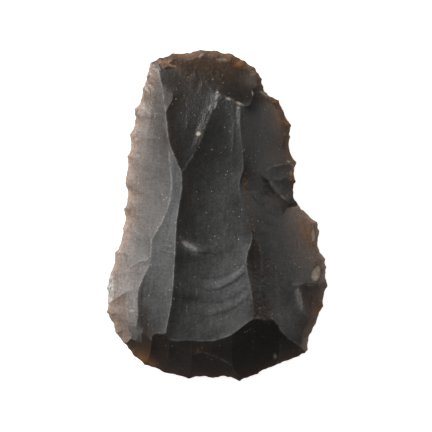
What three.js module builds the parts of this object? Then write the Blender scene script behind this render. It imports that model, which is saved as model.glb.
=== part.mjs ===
import * as THREE from 'three';

// Flint end scraper made on a thick flake. It lies on its smooth ventral face, with the butt towards +Y
// and the steep scraper edge towards -Y. All sizes are in millimetres.
// The knapper left no straight line or circle on it, so the outline and the arrises keep their places as
// per cent of the stone's own width, length and thickness. Every scar hangs between its arrises as a
// shallow hollow, which is how a flake leaves the surface.

const width = 53.4; // across the shoulders above the scraper edge
const length = 80; // from the butt to the scraper edge
const thickness = 12.6; // from the resting plane to the highest arris
const edgeThickness = 0.4; // of the blunted margin, all round
const retouchAngle = 55; // degrees between the trimming scars of the margin and the ventral face
const retouchArch = 0.35; // how far a trimming scar's inner end bulges, as a share of its reach
const retouchReach = 1.5; // of a middling trimming scar into the upper face
const scarRadius = 30; // roundness of a scar's hollow floor

const buttLift = 2; // of the butt above the resting plane
const endLift = 0.7; // of the scraper edge above the resting plane
const sideLift = 1.3; // of the shoulders above the resting plane
const archLift = 0.8; // of the long hollow in the middle of the ventral face
const archEnd = 0.8; // where that hollow runs out, as a share of the half length
const buttStart = 0.6; // where the face starts to turn up to the butt, as the same share
const endStart = 0.75; // where it starts to turn up to the scraper edge
const restDepth = 0.15; // worn off the two high spots on which the stone lies
const bulbDepth = 1; // of the bulb of percussion under the butt
const bulbRadius = 9;
const bulbSetback = 11; // from the butt to the middle of the bulb

const outlineStep = 0.9; // between points along the margin
const arrisStep = 0.85; // between points along an arris
const floorStep = 1.4; // between points on a scar's floor
const floorJitter = 0.22; // how far floor points stray from their rows, as a share of the step
const closest = 0.6; // that two points may stand to each other, as a share of the step
const sweeps = 500; // of the solver that hangs the scars

// Cusps of the margin, clockwise from the left corner of the butt. A row holds x and y as per cent of
// width and length from the middle, the bite of the trimming scar that follows as per cent of its chord,
// and its reach as per cent of a middling one's. The scraper edge has a reach of 0, because its long scars
// have arrises of their own.
const cusps = [
  [-30, 46.2, 8, 50], [-25.7, 47.6, 8, 95], [-20.4, 48.9, 5, 110], [-7.1, 50, 0, 105],
  [0.4, 49.6, 4, 110], [7.3, 48.8, 3, 110], [12.7, 46.6, 4, 105], [17.2, 44.5, 0, 85],
  [20.6, 41.2, 16, 80], [25.1, 35.8, 8, 70], [28.3, 34.8, 6, 70], [30.5, 31.2, 7, 70],
  [33.7, 27.3, 10, 70], [33.3, 24, 15, 70], [36, 16, 10, 50], [36, 10.4, 15, 50],
  [36.1, 4, 4, 60], [45.3, -2, -4, 60], [46.4, -5.8, 15, 80], [48.9, -13, 4, 70],
  [49.4, -15.5, 5, 85], [50, -21.2, 10, 100], [48.3, -27.3, 7, 0], [44.8, -33, 10, 0],
  [41.4, -40.4, -5, 0], [38, -42.2, 3, 0], [33.1, -43.5, 4, 0], [26.2, -45.6, 8, 0],
  [18.5, -48, 3, 0], [10.5, -50, 9, 0], [-1.9, -49, 7, 0], [-12.7, -49.2, 3, 0],
  [-23.2, -47.5, 3, 0], [-32.6, -45, 2, 0], [-38.2, -41.9, 4, 0], [-43.1, -37.9, 4, 45],
  [-45.9, -35.6, 7, 50], [-50, -29.1, 6, 50], [-49.6, -21.7, 16, 50], [-49.3, -19.1, 7, 45],
  [-45.9, -11.1, 9, 48], [-42.5, -4, 11, 50], [-42.1, 2.2, 16, 65], [-41.8, 9.8, 6, 45],
  [-40.4, 17.9, 10, 48], [-39.3, 24.5, 13, 50], [-37.6, 31.9, 13, 48], [-33.7, 38.2, 14, 45],
  [-32.2, 41.9, 6, 40],
];

// Points where arrises meet, as per cent of width, length and thickness.
const fork = [-15.7, 12.8, 85];
const crownLeft = [-0.8, 33.6, 64];
const crownRight = [10.5, 33.6, 70];
const scraperCorner = [17.3, -30.6, 96];
const leftFoot = [-22.9, -35.1, 87];
const stripFoot = [21.5, -30.9, 87];
const leftCorner = [-38.7, -36.9, 41];
const rightCorner = [37.1, -39, 39];
const shoulder = [36.2, -20.6, 60];
const hollowLeft = [-11.2, -41.7, 69];
const hollowRight = [6.9, -44.7, 47];

// The arrises between the large scars, each as the points its line passes through.
const arrises = {
  spur: [[-19.3, 45, 34], [-19.7, 42, 39], [-20.6, 38.4, 47], [-19.7, 35.4, 54], [-21.9, 32.2, 60]],
  spurStep: [[-24.3, 37.8, 48], [-22.4, 38.2, 48], [-20.6, 38.4, 47]],
  leftTop: [[-26.5, 44.7, 32], [-24.3, 37.8, 48], [-22.9, 31.2, 61], [-21.1, 21.5, 76], fork],
  left: [fork, [-15.7, 8.3, 88], [-17.9, -2, 92], [-18.8, -13.4, 95], [-20.2, -25.5, 93], leftFoot],
  middle: [fork, [-8.9, 20, 81], [-5.3, 26.1, 76], [-3, 30, 70], crownLeft],
  crown: [crownLeft, [1, 36, 61], [5.5, 35.1, 65], crownRight],
  crownToMargin: [crownRight, [14.1, 32.7, 63], [16.5, 36.5, 49]],
  rightTop: [crownRight, [10.5, 25.8, 79], [11.9, 14.3, 88], [10, 8.9, 90], [13.7, -0.8, 95]],
  right: [[13.7, -0.8, 95], [15.9, -6.2, 97], [13.2, -13.4, 98], [15.5, -23, 100], scraperCorner],
  strip: [
    [13.7, -0.8, 95], [17.3, -5.9, 91], [19.5, -10.4, 88], [20, -18, 87], [20.4, -25.5, 87], stripFoot,
  ],
  innerLeft: [
    [-22.5, 26.4, 69], [-20.7, 13.7, 79], [-20.2, 8.3, 83], [-22.5, 1.1, 82], [-29.2, -7.4, 72],
  ],
  innerLeftFoot: [
    [-29.2, -7.4, 72], [-30.1, -14, 74], [-35.1, -22.4, 71], [-35.6, -31.5, 65], leftCorner,
  ],
  sliver: [leftCorner, [-40.1, -32.1, 54], [-39.6, -22.4, 58]],
  sliverTop: [[-39.6, -22.4, 58], [-43.7, -24.2, 48], [-49.1, -26.4, 20]],
  tanScar: [[-40.1, -32.1, 54], [-42.8, -30.7, 47], [-45, -29.2, 41], [-48.6, -30.3, 19]],
  flankScar: [
    [-30.1, -14, 74], [-32.8, -13.4, 68], [-38.7, -15.2, 52], [-41.4, -16.7, 45], [-45.5, -17.6, 32],
  ],
  scraperLeft: [leftCorner, [-33.7, -35.4, 56], leftFoot],
  scraperMiddle: [leftFoot, [-20.7, -36.9, 86], [-12.1, -37.2, 89], [-1.2, -37.2, 90], [6.9, -35.4, 94]],
  scraperRight: [
    [6.9, -35.4, 94], scraperCorner, stripFoot, [24.9, -30.9, 83], [29.9, -35.4, 64], rightCorner,
  ],
  rightFlank: [rightCorner, [38.5, -37.2, 39], [37.2, -33.9, 46], [39.4, -33.7, 42], [41.2, -31.5, 41]],
  rightFlankTop: [[41.2, -31.5, 41], [39.4, -29.1, 48], [38, -24.8, 54], shoulder],
  shoulderTop: [shoulder, [43, -20.3, 49], [48.9, -21.5, 20]],
  notch: [[35.5, 16, 16], [28.6, 15.2, 42], [23.6, 14.3, 54], [20.4, 11.3, 64], [22.2, 5.9, 60]],
  notchFoot: [[22.2, 5.9, 60], [27.7, 2.3, 50], [36.2, 2.8, 18]],
  notchRidge: [[22.2, 12.5, 60], [23.6, 10.4, 57], [25.7, 8.1, 52], [29.4, 5.6, 42], [33, 3.6, 31]],
  notchShell: [[23.6, 10.4, 57], [26.3, 10.2, 49], [29, 10.6, 43], [32.2, 11.9, 31]],
  endScarA: [leftCorner, [-41.9, -39.3, 14]],
  endScarB: [[-29.2, -35.4, 71], [-29.7, -40.5, 50], [-31.9, -44.7, 14]],
  endScarC: [[-20.7, -36.9, 86], [-22, -42, 59], [-23.4, -46.8, 14]],
  endScarD: [[-12.1, -37.2, 89], hollowLeft, [-12.5, -48.3, 14]],
  endScarE: [[6.9, -35.4, 94], hollowRight, [10.5, -48.9, 14]],
  endScarF: [[24.9, -30.9, 83], [28.1, -39, 54], [26.7, -45.3, 14]],
  endScarG: [rightCorner, [40.3, -41.1, 14]],
  endHollow: [hollowLeft, [-7.1, -40.8, 76], [-1.2, -42, 67], hollowRight],
};

const place = ([x, y, z]) => new THREE.Vector3(x * width / 100, y * length / 100, z * thickness / 100);

// Height of the ventral face: a long shallow arch that turns up at its margins, with the bulb of
// percussion below the butt, and level where it is worn at the bulb and near the scraper edge.
function ventralHeight(x, y) {
  const along = y / (length / 2);
  const arch = archLift * Math.max(0, 1 - (along / archEnd) ** 2);
  const butt = buttLift * THREE.MathUtils.smoothstep(along, buttStart, 1);
  const end = endLift * THREE.MathUtils.smoothstep(-along, endStart, 1);
  const side = sideLift * (x / (width / 2)) ** 2;
  const fromBulb = Math.hypot(x, y - (length / 2 - bulbSetback)) / bulbRadius;
  const bulb = bulbDepth * Math.exp(-(fromBulb ** 2));
  return Math.max(0, arch + butt + end + side - bulb - restDepth);
}

// Height of the upper face at a given distance in from the margin point (x, y).
function retouchHeight(x, y, inset) {
  const slope = Math.tan(THREE.MathUtils.degToRad(retouchAngle));
  return ventralHeight(x, y) + edgeThickness + inset * slope;
}

// One trimming scar's share of the margin: its two cusps, its chord and the way into the stone.
const scars = cusps.map(([x, y, bite, reach], i) => {
  const next = cusps[(i + 1) % cusps.length];
  const start = place([x, y, 0]);
  const end = place([next[0], next[1], 0]);
  const chord = end.clone().sub(start);
  const inward = new THREE.Vector3(chord.y, -chord.x, 0).normalize();
  return { start, chord, inward, reach: reach / 100 * retouchReach, bite: bite / 100 * chord.length() };
});

// The margin: between two cusps each scar bites in along a parabola.
function traceMargin() {
  const margin = [];
  for (const { start, chord, inward, bite } of scars) {
    const count = Math.max(2, Math.round(chord.length() / outlineStep));
    for (let i = 0; i < count; i++) {
      const t = i / count;
      const point = start.clone().addScaledVector(chord, t).addScaledVector(inward, 4 * bite * t * (1 - t));
      point.z = retouchHeight(point.x, point.y, 0);
      margin.push(point);
    }
  }
  return margin;
}

function sample(route, step) {
  const curve = new THREE.CatmullRomCurve3(route);
  return curve.getSpacedPoints(Math.max(1, Math.round(curve.getLength() / step)));
}

// The ridges between trimming scars, and the arched line where each scar ends on the upper face.
function traceRetouch() {
  const lines = [];
  const ridgeTop = (i) => {
    const scar = scars[i % scars.length];
    const before = scars[(i + scars.length - 1) % scars.length];
    const inset = Math.min(scar.reach, before.reach);
    const inward = scar.inward.clone().add(before.inward).normalize();
    const top = scar.start.clone().addScaledVector(inward, inset);
    top.z = retouchHeight(scar.start.x, scar.start.y, inset);
    return top;
  };
  scars.forEach(({ start, chord, inward, reach, bite }, i) => {
    if (reach === 0) return;
    const foot = start.clone();
    foot.z = retouchHeight(start.x, start.y, 0);
    const middle = start.clone().addScaledVector(chord, 0.5);
    const height = retouchHeight(middle.x, middle.y, reach);
    middle.addScaledVector(inward, reach * (1 + retouchArch) + bite);
    middle.z = height;
    lines.push([foot, ridgeTop(i)]);
    lines.push([ridgeTop(i), middle, ridgeTop(i + 1)]);
  });
  return lines;
}

function isInside(x, y, outline) {
  let inside = false;
  outline.forEach((a, i) => {
    const b = outline[(i + 1) % outline.length];
    if ((a.y > y) !== (b.y > y) && x < a.x + (y - a.y) / (b.y - a.y) * (b.x - a.x)) inside = !inside;
  });
  return inside;
}

// Keeps the new points that stand inside the margin and clear of the points before them.
function addPoints(points, margin, candidates, clearance) {
  for (const candidate of candidates) {
    const isClear = points.every((p) => Math.hypot(p.x - candidate.x, p.y - candidate.y) >= clearance);
    if (isClear && isInside(candidate.x, candidate.y, margin)) points.push(candidate);
  }
}

// Seeded number from 0 to 1, so that the stone comes out the same each time.
const period = 2147483647;
let seed = 7;
function random() {
  seed = (seed * 16807) % period;
  return seed / period;
}

// Staggered rows of points, a little out of line, over the whole stone.
function scatterFloor() {
  const floor = [];
  const rowStep = floorStep * Math.sqrt(3) / 2;
  for (let row = 0; row * rowStep < length; row++) {
    for (let column = 0; column * floorStep < width; column++) {
      const shift = (row % 2) / 2;
      const x = (column + shift + (random() - 0.5) * 2 * floorJitter) * floorStep - width / 2;
      const y = row * rowStep + (random() - 0.5) * 2 * floorJitter * floorStep - length / 2;
      floor.push(new THREE.Vector3(x, y, 0));
    }
  }
  return floor;
}

function makeTriangle(points, a, b, c) {
  const [p, q, r] = [points[a], points[b], points[c]];
  const turn = 2 * ((q.x - p.x) * (r.y - p.y) - (r.x - p.x) * (q.y - p.y));
  const toQ = (q.x - p.x) ** 2 + (q.y - p.y) ** 2;
  const toR = (r.x - p.x) ** 2 + (r.y - p.y) ** 2;
  const x = ((r.y - p.y) * toQ - (q.y - p.y) * toR) / turn;
  const y = ((q.x - p.x) * toR - (r.x - p.x) * toQ) / turn;
  return { corners: [a, b, c], x: p.x + x, y: p.y + y, radiusSquared: x * x + y * y };
}

// Delaunay triangles of the points seen from above, less those outside the margin. A point opens every
// triangle whose circle holds it, and is joined to the rim of the hole.
function triangulate(points, margin) {
  const far = 100 * length;
  const all = [...points, { x: -far, y: -far }, { x: far, y: -far }, { x: 0, y: far }];
  let triangles = [makeTriangle(all, points.length, points.length + 1, points.length + 2)];
  points.forEach((point, index) => {
    const rim = new Map();
    triangles = triangles.filter(({ corners, x, y, radiusSquared }) => {
      if ((point.x - x) ** 2 + (point.y - y) ** 2 > radiusSquared) return true;
      corners.forEach((a, i) => {
        const b = corners[(i + 1) % 3];
        if (!rim.delete(`${b},${a}`)) rim.set(`${a},${b}`, [a, b]);
      });
      return false;
    });
    for (const [a, b] of rim.values()) triangles.push(makeTriangle(all, a, b, index));
  });
  return triangles.map(({ corners }) => corners).filter((corners) => {
    if (Math.max(...corners) >= points.length) return false;
    const [x, y] = ['x', 'y'].map((axis) => corners.reduce((sum, i) => sum + points[i][axis], 0) / 3);
    return isInside(x, y, margin);
  });
}

// Lets each scar's floor hang from the fixed points, which are the margin and the arrises, as a soap film
// under a light even load does: steepest at the arrises and hollow between them.
function hangScars(points, triangles, fixedCount) {
  const weights = points.map(() => new Map());
  const areas = points.map(() => 0);
  for (const corners of triangles) {
    corners.forEach((apex, i) => {
      const a = corners[(i + 1) % 3];
      const b = corners[(i + 2) % 3];
      const toA = new THREE.Vector2(points[a].x - points[apex].x, points[a].y - points[apex].y);
      const toB = new THREE.Vector2(points[b].x - points[apex].x, points[b].y - points[apex].y);
      const weight = toA.dot(toB) / toA.cross(toB) / 2;
      weights[a].set(b, (weights[a].get(b) ?? 0) + weight);
      weights[b].set(a, (weights[b].get(a) ?? 0) + weight);
      areas[apex] += toA.cross(toB) / 6;
    });
  }
  const meanHeight = thickness / 2;
  const overRelaxation = 1.8;
  for (let i = fixedCount; i < points.length; i++) points[i].z = meanHeight;
  for (let sweep = 0; sweep < sweeps; sweep++) {
    for (let i = fixedCount; i < points.length; i++) {
      let sum = -areas[i] / scarRadius;
      let total = 0;
      for (const [j, weight] of weights[i]) {
        sum += weight * points[j].z;
        total += weight;
      }
      points[i].z += overRelaxation * (sum / total - points[i].z);
    }
  }
}

// The upper face, the same triangles again for the ventral face, and the thin blunt wall between them.
function closeStone(points, triangles) {
  const positions = points.flatMap(({ x, y, z }) => [x, y, z]);
  positions.push(...points.flatMap(({ x, y }) => [x, y, ventralHeight(x, y)]));
  const below = points.length;
  const rim = new Map();
  const indices = [];
  for (const corners of triangles) {
    const [a, b, c] = corners;
    indices.push(a, b, c, a + below, c + below, b + below);
    corners.forEach((from, i) => {
      const to = corners[(i + 1) % 3];
      if (!rim.delete(`${to},${from}`)) rim.set(`${from},${to}`, [from, to]);
    });
  }
  for (const [from, to] of rim.values()) {
    indices.push(from + below, to + below, to, from + below, to, from);
  }
  const geometry = new THREE.BufferGeometry();
  geometry.setAttribute('position', new THREE.Float32BufferAttribute(positions, 3));
  geometry.setIndex(indices);
  return geometry;
}

function makeStone() {
  const margin = traceMargin();
  const points = [...margin];
  for (const route of Object.values(arrises)) {
    addPoints(points, margin, sample(route.map(place), arrisStep), closest * arrisStep);
  }
  for (const line of traceRetouch()) {
    addPoints(points, margin, sample(line, arrisStep), closest * arrisStep);
  }
  const fixedCount = points.length;
  addPoints(points, margin, scatterFloor(), closest * floorStep);
  const triangles = triangulate(points, margin);
  hangScars(points, triangles, fixedCount);
  const geometry = closeStone(points, triangles).toNonIndexed();
  geometry.computeVertexNormals();
  return geometry;
}

const flint = new THREE.MeshStandardMaterial({ color: 0x4b4744, roughness: 0.42, metalness: 0 });
const stone = new THREE.Mesh(makeStone(), flint);
stone.name = 'flint_scraper';

const scraper = new THREE.Group();
scraper.add(stone);

export default scraper;
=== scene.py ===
import heapq
import math
import bpy
import numpy as np
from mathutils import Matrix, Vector, geometry, kdtree, noise
from mathutils.bvhtree import BVHTree


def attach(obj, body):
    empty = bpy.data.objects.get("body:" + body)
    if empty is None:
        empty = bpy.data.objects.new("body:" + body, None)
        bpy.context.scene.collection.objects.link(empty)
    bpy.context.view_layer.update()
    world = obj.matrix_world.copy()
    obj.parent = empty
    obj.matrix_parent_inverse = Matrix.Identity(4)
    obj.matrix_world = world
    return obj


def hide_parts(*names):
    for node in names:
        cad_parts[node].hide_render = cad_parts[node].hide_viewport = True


# A flint end scraper on a pale floor, seen from straight above, lying on its smooth ventral face.
# The solid gives the outline, the arrises and the depth of the scars. This script gives the stone its
# surface: ripples, a hinge step, fissures, chips and crushed lines as mesh, then the grey film, specks
# and thin brown margins.

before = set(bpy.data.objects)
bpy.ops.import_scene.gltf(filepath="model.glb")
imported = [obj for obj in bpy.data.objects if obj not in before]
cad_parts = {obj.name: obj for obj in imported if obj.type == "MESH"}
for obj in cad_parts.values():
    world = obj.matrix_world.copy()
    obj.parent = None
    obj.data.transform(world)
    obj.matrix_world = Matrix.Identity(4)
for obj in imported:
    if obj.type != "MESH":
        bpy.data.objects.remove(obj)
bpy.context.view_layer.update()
print("frame loaded")

mm = 0.001  # the scene is in metres, and the stone is worked in millimetres
random = np.random.default_rng(11)

stoneMesh = {
    "scarStep": 0.24,     # mm between points on the scarred upper face
    "ventralStep": 0.6,   # mm between points on the smooth face below
    "marginStep": 0.24,   # mm between points along the margin
    "jitter": 0.2,        # how far points stray from their rows, as a share of the step
    "arrisAngle": 13,     # degrees between two facets of the solid that make an arris
    "spreadStep": 0.05,   # what it costs a scar to spread to the next facet
    "spreadBend": 12,     # degrees of a bend that cost 1 more, and twice the bend costs 4
    "scarRadius": 30,     # mm, roundness of a scar's hollow floor
    "hangings": 160,      # rounds that settle the scars between their arrises
    "marginGap": 0.6,     # share of the step that lines keep off the margin
    "lineGap": 0.55,      # share of the step that loose points keep off the lines
    "faceTilt": 0.05,     # least upward part of a facet's normal on the upper face
    "onLine": 1e-4,       # mm within which a point counts as lying on a line
    "sharpAngle": 32,     # degrees between two faces that show as a crisp edge
}

# Points inside each large scar, in mm, and how its surface looks. Film is the grey patina, rose its
# lilac tinge and umber the brown of fresh trimming; a few film, umber and pale patches further down paint
# shade and highlights. Glow is how much light the thin margin lets through, and warm how brown that light
# is. All are from 0 to 1.
scars = {
    "flank":      {"at": [(-16.6, 8.6), (-19.5, -5.0), (-15.4, 36.4), (-20.5, -9.0)],
                   "film": 0.42, "rose": 0.1, "umber": 0.0, "glow": 1.0, "warm": 0.1},
    "lowFlank":   {"at": [(-22.8, -15.5), (-18.0, -12.5), (-19.3, -16.0)],
                   "film": 0.6, "rose": 0.25, "umber": 0.0, "glow": 1.0, "warm": 0.1},
    "innerFlank": {"at": [(-12.5, -13.1), (-11.0, 14.6), (-16.6, -24.0), (-15.3, -10.0), (-17.3, -19.0)],
                   "film": 0.46, "rose": 0.0, "umber": 0.0, "glow": 0.2, "warm": 0.5},
    "sliver":     {"at": [(-20.7, -23.3), (-20.4, -20.4), (-20.4, -27.6)],
                   "film": 1.0, "rose": 0.35, "umber": 0.0, "glow": 0.0, "warm": 0.0},
    "tanFacet":   {"at": [(-23.8, -21.6), (-22.8, -19.9), (-22.3, -22.3)],
                   "film": 0.9, "rose": 0.95, "umber": 0.05, "glow": 1.0, "warm": 0.35},
    "tanScar":    {"at": [(-23.6, -26.5), (-22.8, -26.4), (-23.8, -24.7)],
                   "film": 0.85, "rose": 0.85, "umber": 0.1, "glow": 1.0, "warm": 0.35},
    "spur":       {"at": [(-11.9, 32.6)], "film": 0.12, "rose": 0.0, "umber": 0.0, "glow": 0.3, "warm": 0.6},
    "spurFoot":   {"at": [(-11.9, 28.6)], "film": 0.3, "rose": 0.25, "umber": 0.0, "glow": 0.0, "warm": 0.0},
    "crown":      {"at": [(-6.4, 25.4), (2.0, 29.5), (-7.0, 33.5), (-3.0, 35.0), (-9.0, 30.0)],
                   "film": 0.02, "rose": 0.0, "umber": 0.05, "glow": 1.0, "warm": 0.6},
    "central":    {"at": [(-0.4, -1.1), (2.2, 24.2), (5.2, -5.0), (5.0, -12.5), (5.8, -19.5), (0, -25)],
                   "film": 0.1, "rose": 0.0, "umber": 0.0, "glow": 0.0, "warm": 0.0},
    "strip":      {"at": [(9.2, -14.4), (9.0, -6.0), (9.6, -20.9)],
                   "film": 0.1, "rose": 0.0, "umber": 0.3, "glow": 0.0, "warm": 0.0},
    "right":      {"at": [(14.0, -13.1), (17.2, -25.7), (14.5, -1.5), (17.5, -3.0), (12.3, -17.0),
                          (12.0, -21.5), (11.8, -9.0), (18.6, -24.0), (10.0, 1.0)],
                   "film": 0.15, "rose": 0.0, "umber": 0.05, "glow": 1.0, "warm": 0.2},
    "upperRight": {"at": [(10.9, 22.0), (9.5, 10.5), (14.0, 14.5)],
                   "film": 0.05, "rose": 0.0, "umber": 0.1, "glow": 0.9, "warm": 0.7},
    "notch":      {"at": [(14.8, 6.6), (17.3, 7.2)],
                   "film": 0.4, "rose": 0.0, "umber": 0.1, "glow": 0.3, "warm": 0.8},
    "notchShell": {"at": [(15.3, 10.3)], "film": 0.35, "rose": 0.0, "umber": 0.15, "glow": 0.5, "warm": 0.6},
    "notchLow":   {"at": [(13.7, 4.6), (15.6, 2.9)],
                   "film": 0.0, "rose": 0.0, "umber": 0.5, "glow": 0.1, "warm": 0.8},
    "shoulder":   {"at": [(23.0, -20.4), (21.3, -25.5)],
                   "film": 0.4, "rose": 0.1, "umber": 0.4, "glow": 1.0, "warm": 0.7},
    "endOne":     {"at": [(-19.7, -31.2)], "film": 0.1, "rose": 0.0, "umber": 0.8, "glow": 0.7, "warm": 0.8},
    "endTwo":     {"at": [(-13.7, -32.9)], "film": 0.0, "rose": 0.0, "umber": 0.4, "glow": 0.2, "warm": 0.9},
    "endThree":   {"at": [(-8.9, -34.3)], "film": 0.12, "rose": 0.0, "umber": 0.4, "glow": 0.3, "warm": 0.9},
    "endFour":    {"at": [(-1.1, -31.3)], "film": 0.14, "rose": 0.0, "umber": 0.3, "glow": 0.3, "warm": 0.9},
    "endHollow":  {"at": [(-1.6, -36.6)], "film": 0.0, "rose": 0.0, "umber": 0.3, "glow": 0.4, "warm": 0.9},
    "endFive":    {"at": [(9.5, -32.4)], "film": 0.0, "rose": 0.0, "umber": 0.1, "glow": 0.3, "warm": 0.9},
    "endSix":     {"at": [(17.7, -32.4)], "film": 0.03, "rose": 0.0, "umber": 0.3, "glow": 0.3, "warm": 0.9},
}
names = list(scars)

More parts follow.
